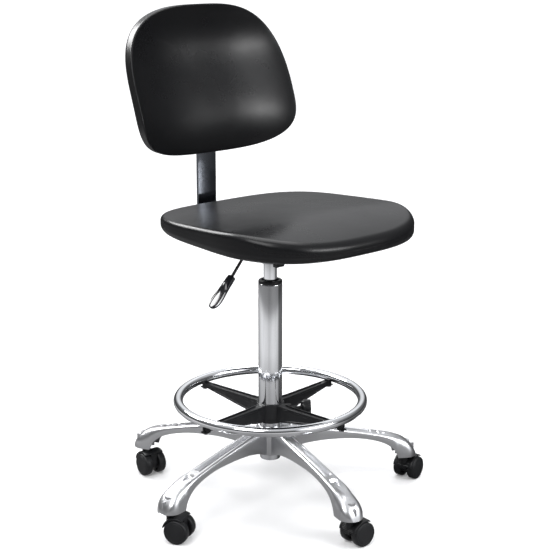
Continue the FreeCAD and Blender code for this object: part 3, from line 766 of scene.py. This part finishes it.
def make_back_bar():
    foot, run, _ = upper_frame()
    line = [Vector((0, y, BAR_FOOT_Z)) for y in (48, 60, 90, 120, 150)]
    centre = Vector((0, BAR_UPRIGHT_Y - BAR_BEND_R, BAR_FOOT_Z + BAR_BEND_R))
    for y, z in arc(BAR_BEND_R, -90, 0, 20):
        line.append(centre + Vector((0, y, z)))
    line += [Vector((0, BAR_UPRIGHT_Y, z)) for z in (620, 650, 680, 705, 716)]
    kink = round_corners([(0, BAR_UPRIGHT_Y, 712), tuple(foot), tuple(foot + run * 16)], 14, 10)
    line += kink[1:-1]
    line += [foot + run * step for step in (20, 50, 80, 110, 130)]
    straight = BAR_UPPER_LEN - BAR_TOP_ROUND
    line += [foot + run * (straight + BAR_TOP_ROUND * math.sin(k * math.pi / 12)) for k in range(1, 7)]
    section = round_rect(BAR_HALF_W, BAR_T / 2, BAR_EDGE_R, 5)
    rows = []
    for i, point in enumerate(line):
        before = line[max(i - 1, 0)]
        after = line[min(i + 1, len(line) - 1)]
        heading = (after - before).normalized()
        out = Vector((1, 0, 0)).cross(heading)
        past = (point - foot).dot(run) - straight
        trim = 0.0
        if past > 0:
            trim = BAR_TOP_ROUND * (1 - math.sqrt(max(1 - (past / BAR_TOP_ROUND) ** 2, 0.0)))
        rows.append([point + Vector(((abs(x) - trim * (abs(x) / BAR_HALF_W)) * math.copysign(1, x), 0, 0))
                     + out * y for x, y in section])
    bar = Shape().skin(rows, ends=(True, True)).make("bar_flat", 30.0)
    stand_in(bar, "back_bar")
    # the back bar takes the darker chrome: painted shade over its reflections
    bar.data.materials[0] = FINISH["shade_painted_chrome"]
    cap = Shape().prism(section, 0.0, 3.0, along((0, -1, 0), (0, 48.0, BAR_FOOT_Z)))
    stand_in(soften(cap.make("bar_cap"), 0.5), "bar_end_cap")


# ---------------------------------------------------------------- lever
LEVER_PIVOT = Vector((-34, 0, 560))
LEVER_BEND = Vector((-90, -37, 560))
GRIP_TOP = Vector((-162, -67, 516))
GRIP_TIP = Vector((-211.5, -67, 466))
# paddle: distance along it, half width, half thickness, depth of the dish in its face
PADDLE = [(-3.0, 5.0, 4.6, 0.0), (-2.4, 7.6, 6.8, 0.0), (-1.0, 8.8, 7.6, 0.0), (6.0, 9.2, 8.0, 0.0),
          (14.0, 9.8, 8.0, 0.0), (22.0, 10.8, 7.6, 0.2), (29.0, 12.0, 7.0, 1.6), (36.0, 13.6, 6.4, 2.8),
          (44.0, 15.2, 5.8, 3.0), (53.0, 15.8, 5.2, 2.6), (61.0, 14.8, 4.7, 2.1), (66.5, 12.2, 4.1, 1.4),
          (70.0, 8.6, 3.4, 0.7), (72.0, 4.6, 2.4, 0.2), (72.7, 1.2, 1.0, 0.0)]


def make_lever():
    shape = Shape()
    tail = GRIP_TOP + (GRIP_TOP - LEVER_BEND).normalized() * 14
    path = round_corners([LEVER_PIVOT, LEVER_BEND, tail], 16, 10)
    tube(shape, path, 3.0, 24)
    side = along((0, 1, 0), LEVER_PIVOT - Vector((0, 10, 0)))
    shape.lathe([(3.1, 0.4), (6.2, 0.0), (7.0, 0.8), (7.0, 19.2), (6.2, 20.0), (3.1, 19.6)], 48, side)
    shape.block((LEVER_PIVOT.x + 4, -5, 552.35), (4, 5, 558.35))
    rod = shape.make("lever_bent_rod", 40.0)
    stand_in(rod, "lever_rod")

    down = (GRIP_TIP - GRIP_TOP).normalized()
    wide = Vector((0, 1, 0))
    wide = (wide - down * wide.dot(down)).normalized()
    face = wide.cross(down).normalized()
    width_line = smooth_line([(a, half_w, 0) for a, half_w, _, _ in PADDLE], 4)
    thick_line = smooth_line([(a, half_t, 0) for a, _, half_t, _ in PADDLE], 4)
    dish_line = smooth_line([(a, dish, 0) for a, _, _, dish in PADDLE], 4)
    rows = []
    for (a, half_w, _), (_, half_t, _), (_, dish, _) in zip(width_line, thick_line, dish_line):
        row = []
        for k in range(48):
            angle = 2 * math.pi * k / 48
            u, v = math.cos(angle), math.sin(angle)
            rise = half_t * v
            if v > 0:
                rise -= max(dish, 0.0) * ease(v, 0.25, 0.75)
            row.append(GRIP_TOP + down * a + wide * (half_w * u) + face * rise)
        rows.append(row)
    handle = Shape().skin(rows, ends=(True, True)).make("lever_paddle", 50.0)
    stand_in(handle, "lever_handle")


# ---------------------------------------------------------------- seat
SEAT_FRONT_Y = -278.0
SEAT_REAR_Y = 165.0
SEAT_MID_Y = (SEAT_FRONT_Y + SEAT_REAR_Y) / 2
SEAT_LENGTH = SEAT_REAR_Y - SEAT_FRONT_Y
SEAT_HALF_FRONT = 234.0
SEAT_HALF_REAR = 218.0
SEAT_ROUND = (2.8, 3.7)
SEAT_BOTTOM_Z = 578.5
SEAT_CROWN = 3.0
SEAT_DROOP = 1.2
SEAT_SIDE_BULGE = 3.5
SEAT_RIM_R = (10.0, 15.0)
SEAT_FOOT_R = 15.0


def seat_edge(angle):
    """Point of the seat's plan outline in the direction angle from its middle."""
    c, s = math.cos(angle), math.sin(angle)
    power = SEAT_ROUND[0] if s < 0 else SEAT_ROUND[1]
    across = math.copysign(abs(c) ** (2 / power), c)
    y = SEAT_MID_Y + SEAT_LENGTH / 2 * math.copysign(abs(s) ** (2 / power), s)
    share = (y - SEAT_FRONT_Y) / SEAT_LENGTH
    bulge = SEAT_SIDE_BULGE * ease(y, 140, 20) * ease(y, -240, -140)
    return (mixed(SEAT_HALF_FRONT, SEAT_HALF_REAR, share) + bulge) * across, y


def seat_rim_z(y):
    """Height of the sitting face at its rim: it slopes down to the rear and rolls over in front."""
    droop = SEAT_DROOP * ease(y, 120, 0) * ease(y, -270, -180)
    return 623.5 - 4.2 * (y + 60) / 100 - 27 * (max(0.0, -120 - y) / 150) ** 2 - droop


def seat_bottom_z(y):
    return SEAT_BOTTOM_Z + 3.3 * (y + 60) / 100


def seat_top_z(y, share):
    """Height of the sitting face; share is 0 in the middle and 1 at the rim."""
    return seat_rim_z(y) + SEAT_CROWN * (1 - share * share)


def make_seat():
    rows = []
    count = 200
    for k in range(count):
        angle = 2 * math.pi * k / count
        x0, y0 = seat_edge(angle)
        reach = math.hypot(x0, y0 - SEAT_MID_Y)
        front = ease(-y0, 130, 235)
        rim = mixed(*SEAT_RIM_R, front)

        def at(inset):
            share = 1 - inset / reach
            return x0 * share, SEAT_MID_Y + (y0 - SEAT_MID_Y) * share, share

        row = []
        for part in (1.0, 0.8, 0.6, 0.4, 0.25, 0.12):
            x, y, _ = at(SEAT_FOOT_R + (reach - SEAT_FOOT_R) * part)
            row.append((x, y, seat_bottom_z(y)))
        for step in range(9):
            turn = math.pi / 2 * step / 8
            x, y, _ = at(SEAT_FOOT_R * (1 - math.sin(turn)))
            row.append((x, y, seat_bottom_z(y) + SEAT_FOOT_R * (1 - math.cos(turn))))
        low = row[-1][2]
        high = seat_rim_z(y0) - rim
        for part in (0.2, 0.4, 0.6, 0.8):
            x, y, _ = at(0.5 - 0.5 * math.sin(math.pi * part))
            row.append((x, y, mixed(low, high, part)))
        for step in range(9):
            turn = math.pi / 2 * step / 8
            inset = rim * (1 - math.cos(turn))
            x, y, share = at(inset)
            row.append((x, y, seat_top_z(y, share) - rim * (1 - math.sin(turn))))
        for inset in (rim + 3, rim + 8, rim + 15, rim + 24):
            x, y, share = at(inset)
            row.append((x, y, seat_top_z(y, share)))
        start = rim + 24
        for part in (0.07, 0.15, 0.24, 0.34, 0.45, 0.57, 0.7, 0.84, 1.0):
            x, y, share = at(start + (reach - start) * part)
            row.append((x, y, seat_top_z(y, share)))
        rows.append([Vector(p) for p in row])
    rows.append(rows[0])
    seat = Shape().skin(rows, loop=False).make("seat_pad", 60.0)
    stand_in(seat, "seat_foam")


# ---------------------------------------------------------------- backrest
BACK_HALF_W = 209.0
BACK_LOW_Z, BACK_WIDE_Z, BACK_HIGH_Z = 715.0, 831.0, 1021.0
BACK_T = 38.0
BACK_EDGE_T = 27.0
BACK_WRAP = 33.0
BACK_POWER = (3.3, 2.9)
BACK_CENTRE_Z = 850.0
BACK_FRONT_R = 4.0
BACK_REAR_R = 9.0


def spine_y(z):
    u = (z - 800) / 100
    return 181.7 + 26.8 * u + 16.7 * u * u - 10.2 * u ** 3


def back_face_y(x, z):
    return spine_y(z) - BACK_WRAP * (abs(x) / 200) ** 3.4


def back_edge(angle):
    """Point of the backrest's outline, seen from the front, in the direction angle."""
    c, s = math.cos(angle), math.sin(angle)
    power = BACK_POWER[0] if s < 0 else BACK_POWER[1]
    height = BACK_WIDE_Z - BACK_LOW_Z if s < 0 else BACK_HIGH_Z - BACK_WIDE_Z
    x = BACK_HALF_W * math.copysign(abs(c) ** (2 / power), c)
    return x, BACK_WIDE_Z + height * math.copysign(abs(s) ** (2 / power), s)


def back_thickness(share):
    return BACK_T - (BACK_T - BACK_EDGE_T) * share ** 4


def make_backrest():
    rows = []
    count = 220
    for k in range(count):
        x0, z0 = back_edge(2 * math.pi * (k + 0.5) / count)
        reach = math.hypot(x0, z0 - BACK_CENTRE_Z)

        def at(inset):
            share = 1 - inset / reach
            return x0 * share, BACK_CENTRE_Z + (z0 - BACK_CENTRE_Z) * share, share

        row = []
        for part in (1.0, 0.86, 0.72, 0.6, 0.48, 0.38, 0.28, 0.2, 0.13, 0.07, 0.03):
            x, z, share = at(BACK_FRONT_R + (reach - BACK_FRONT_R) * part)
            row.append((x, back_face_y(x, z), z))
        for step in range(8):
            turn = math.pi / 2 * step / 7
            x, z, share = at(BACK_FRONT_R * (1 - math.sin(turn)))
            row.append((x, back_face_y(x, z) + BACK_FRONT_R * (1 - math.cos(turn)), z))
        wall = back_thickness(1.0) - BACK_FRONT_R - BACK_REAR_R
        for part in (0.25, 0.5, 0.75):
            x, z, share = at(0.4 - 0.4 * math.sin(math.pi * part) + 1.0 * part)
            row.append((x, back_face_y(x, z) + BACK_FRONT_R + wall * part, z))
        for step in range(9):
            turn = math.pi / 2 * step / 8
            x, z, share = at(1.0 + BACK_REAR_R * (1 - math.cos(turn)))
            depth = back_thickness(share) - BACK_REAR_R * (1 - math.sin(turn))
            row.append((x, back_face_y(x, z) + depth, z))
        for part in (0.03, 0.07, 0.13, 0.2, 0.28, 0.38, 0.48, 0.6, 0.72, 0.86, 1.0):
            x, z, share = at(1.0 + BACK_REAR_R + (reach - BACK_REAR_R - 1.0) * part)
            row.append((x, back_face_y(x, z) + back_thickness(share), z))
        rows.append([Vector(p) for p in row])
    rows.append(rows[0])
    foam = Shape().skin(rows, loop=False).make("back_pad", 60.0)
    foot = upper_frame()[0]
    lean = Matrix.Rotation(-math.radians(BAR_LEAN_DEG), 4, "X")
    cutter_place = Matrix.Translation(foot) @ lean
    tilt = cutter_place @ Matrix.Rotation(math.pi / 2, 4, "X")
    outline = [(x, y + 65.0) for x, y in round_rect(44.0, 95.0, 10.0, 8)]
    cutter = Shape().prism(outline, -90.0, 9.5, tilt).make("pocket_cutter")
    cut = foam.modifiers.new("pocket", "BOOLEAN")
    cut.operation = "DIFFERENCE"
    cut.solver = "EXACT"
    cut.object = cutter
    finished = bpy.data.meshes.new_from_object(foam.evaluated_get(bpy.context.evaluated_depsgraph_get()))
    foam.modifiers.clear()
    foam.data = finished
    bpy.data.objects.remove(cutter)
    built = bmesh.new()
    built.from_mesh(finished)
    mark_sharp(built, 50.0)
    built.to_mesh(finished)
    built.free()
    stand_in(foam, "back_foam")


# ---------------------------------------------------------------- CAD pieces that stay in view
SOFTENED = {
    "seat_plate": 0.8, "taper_socket": 0.8, "bar_clamp": 0.8, "valve_cover": 0.8, "back_bracket": 0.9,
    "back_board": 0.6, "seat_board": 0.6, "ring_clips": 0.6, "ring_screws": 0.4, "seat_bolts": 0.4,
    "back_bolts": 0.4,
}


def dress_cad_nodes():
    """Every CAD node that is still shown takes the procedural finish of its slot."""
    for name, obj in frame["nodes"].items():
        if obj.hide_render:
            continue
        finish = FINISH[SLOT_OF_NODE[name]]
        if not obj.material_slots:
            obj.data.materials.append(finish)
        for entry in obj.material_slots:
            entry.material = finish
        if name in SOFTENED:
            soften(obj, SOFTENED[name], limit_deg=50.0)


# ---------------------------------------------------------------- studio
# brightness of the studio against height: share of the way from horizon to zenith, strength
SKY_STEPS = [(0.0, 0.05), (0.06, 0.06), (0.20, 0.12), (0.40, 0.18), (0.60, 0.50), (1.0, 0.95)]
# broad soft panels: direction, cosine at their edge and at their full strength, strength
SKY_PANELS = [((0.55, 0.62, 0.56), 0.84, 0.97, 0.76), ((0.256, -0.891, 0.375), 0.883, 0.97, 1.6)]
# floor as the chair's polished parts see it: heading about the column in degrees, brightness
FLOOR_SECTORS = [(-180, 0.84), (-160, 0.80), (-143, 0.66), (-126, 0.76), (-106, 0.90), (-72, 0.72),
                 (-60, 0.70), (-48, 0.30), (-38, 0.14), (40, 0.12), (80, 0.20), (110, 0.66), (140, 0.92),
                 (180, 0.84)]
# and how that brightness changes with the distance: nearness from 0 at 3 m off to 1 at the column, share
FLOOR_NEARNESS = [(0.0, 0.30), (0.20, 0.35), (0.36, 1.0), (0.60, 1.0), (0.81, 0.50), (1.0, 0.38)]
BACKDROP = (1.0, 1.0, 1.0)


def sky(world):
    """Pale backdrop to the camera, and a graded studio with soft panels in every reflection."""
    world.use_nodes = True
    tree = world.node_tree
    studio = tree.nodes["Background"]
    heading = tree.nodes.new("ShaderNodeTexCoord").outputs["Generated"]
    parts = tree.nodes.new("ShaderNodeSeparateXYZ")
    tree.links.new(heading, parts.inputs["Vector"])
    ramp = tree.nodes.new("ShaderNodeValToRGB")
    elements = ramp.color_ramp.elements
    while len(elements) < len(SKY_STEPS):
        elements.new(0.5)
    for element, (position, value) in zip(elements, SKY_STEPS):
        element.position = position
        element.color = (value, value, value, 1.0)
    tree.links.new(parts.outputs["Z"], ramp.inputs["Fac"])
    strength = ramp.outputs["Color"]
    for direction, edge, full, value in SKY_PANELS:
        facing = tree.nodes.new("ShaderNodeVectorMath")
        facing.operation = "DOT_PRODUCT"
        facing.inputs[1].default_value = Vector(direction).normalized()
        tree.links.new(heading, facing.inputs[0])
        panel = tree.nodes.new("ShaderNodeMapRange")
        panel.interpolation_type = "SMOOTHSTEP"
        panel.inputs["From Min"].default_value = edge
        panel.inputs["From Max"].default_value = full
        panel.inputs["To Min"].default_value = 0.0
        panel.inputs["To Max"].default_value = value
        tree.links.new(facing.outputs["Value"], panel.inputs["Value"])
        total = tree.nodes.new("ShaderNodeMath")
        total.operation = "ADD"
        tree.links.new(strength, total.inputs[0])
        tree.links.new(panel.outputs["Result"], total.inputs[1])
        strength = total.outputs["Value"]
    studio.inputs["Color"].default_value = (0.97, 0.98, 1.0, 1.0)
    tree.links.new(strength, studio.inputs["Strength"])
    backdrop = tree.nodes.new("ShaderNodeBackground")
    backdrop.inputs["Color"].default_value = (*BACKDROP, 1.0)
    seen = tree.nodes.new("ShaderNodeLightPath")
    mix = tree.nodes.new("ShaderNodeMixShader")
    tree.links.new(seen.outputs["Is Camera Ray"], mix.inputs["Fac"])
    tree.links.new(studio.outputs["Background"], mix.inputs[1])
    tree.links.new(backdrop.outputs["Background"], mix.inputs[2])
    tree.links.new(mix.outputs["Shader"], tree.nodes["World Output"].inputs["Surface"])


def softbox(name, spot, target, size, power, mirrored_only=False):
    """A rectangular lamp; one that is mirrored only shows in reflections and lights nothing."""
    light = bpy.data.lights.new(name, "AREA")
    light.shape = "RECTANGLE"
    light.size, light.size_y = size
    light.energy = power
    obj = bpy.data.objects.new(name, light)
    obj.visible_diffuse = not mirrored_only
    obj.location = spot
    obj.rotation_euler = (Vector(target) - Vector(spot)).to_track_quat("-Z", "Y").to_euler()
    bpy.context.scene.collection.objects.link(obj)


def floor_plane(name, height):
    """A wide level plane of the studio, and the nodes of its material."""
    half = 30000
    plane = Shape().skin([[Vector((x, y, height)) for x in (-half, half)] for y in (-half, half)],
                         loop=False).make(name)
    paint = bpy.data.materials.new(name)
    nodes = Nodes(paint)
    nodes.shader.inputs["Roughness"].default_value = 0.8
    nodes.shader.inputs["Specular IOR Level"].default_value = 0.1
    plane.data.materials.append(paint)
    return plane, nodes


def make_floor():
    """Pale floor, lit a little more evenly far from the chair than the lamps reach."""
    floor, nodes = floor_plane("studio_floor", -0.4)
    tone = nodes.ramp(nodes.noise(1.2, detail=3.0), [(0.3, (0.87, 0.87, 0.875)), (0.7, (0.89, 0.89, 0.895))])
    nodes.link(tone, nodes.shader.inputs["Base Color"])
    near = nodes.gradient("SPHERICAL", (0.2, 0.2, 0.2))
    nodes.shader.inputs["Emission Color"].default_value = (1.0, 1.0, 1.0, 1.0)
    nodes.link(nodes.spread(near, 0.55, 0.12, 0.0, 0.8), nodes.shader.inputs["Emission Strength"])
    floor.visible_glossy = False


def make_mirrored_floor():
    """The floor as polished parts reflect it: darker, in broad sectors about the column."""
    floor, nodes = floor_plane("studio_floor_in_reflections", -0.2)
    stops = [(heading / 360 + 0.5, (value, value, value * 1.01)) for heading, value in FLOOR_SECTORS]
    tone = nodes.ramp(nodes.gradient("RADIAL"), stops)
    mottle = nodes.noise(1.6, detail=3.0)
    patches = nodes.ramp(mottle, [(0.3, (0.92, 0.92, 0.92)), (0.7, (1.06, 1.06, 1.06))])
    shares = [(nearness, (share, share, share)) for nearness, share in FLOOR_NEARNESS]
    close = nodes.ramp(nodes.gradient("SPHERICAL", (0.333, 0.333, 0.333)), shares)
    nodes.link(nodes.product(nodes.product(tone, close), patches), nodes.shader.inputs["Emission Color"])
    nodes.shader.inputs["Emission Strength"].default_value = 1.0
    nodes.shader.inputs["Base Color"].default_value = (0.0, 0.0, 0.0, 1.0)
    for ray in ("camera", "diffuse", "transmission", "shadow"):
        setattr(floor, "visible_" + ray, False)


def make_studio():
    world = bpy.data.worlds.new("studio")
    bpy.context.scene.world = world
    sky(world)
    make_floor()
    make_mirrored_floor()
    target = (0.0, 0.0, 0.55)
    softbox("key", (-2.4, -0.9, 2.8), target, (1.8, 1.8), 75)
    softbox("side", (0.91, -2.46, 1.62), (0.1, 0.2, 0.8), (1.5, 0.34), 36)
    softbox("rear", (-0.75, 2.3, 2.6), target, (1.7, 1.7), 180, mirrored_only=True)
    softbox("top", (0.3, 0.6, 3.6), target, (2.6, 2.6), 90)


def make_camera():
    data = bpy.data.cameras.new("camera")
    data.sensor_width = 36.0
    data.lens = 85.35
    data.shift_x = 0.0085
    data.clip_end = 200.0
    camera = bpy.data.objects.new("camera", data)
    camera.location = (-1.7397, -1.9322, 1.153)
    camera.rotation_euler = (math.radians(90 - 14.496), 0.0, math.radians(-42.0))
    bpy.context.scene.collection.objects.link(camera)
    bpy.context.scene.camera = camera


make_camera()
make_studio()
make_star_base()
make_casters()
make_column()
make_foot_ring()
make_spider()
make_knobs()
make_back_bar()
make_lever()
make_seat()
make_backrest()
dress_cad_nodes()
bpy.context.scene.view_settings.view_transform = "Standard"
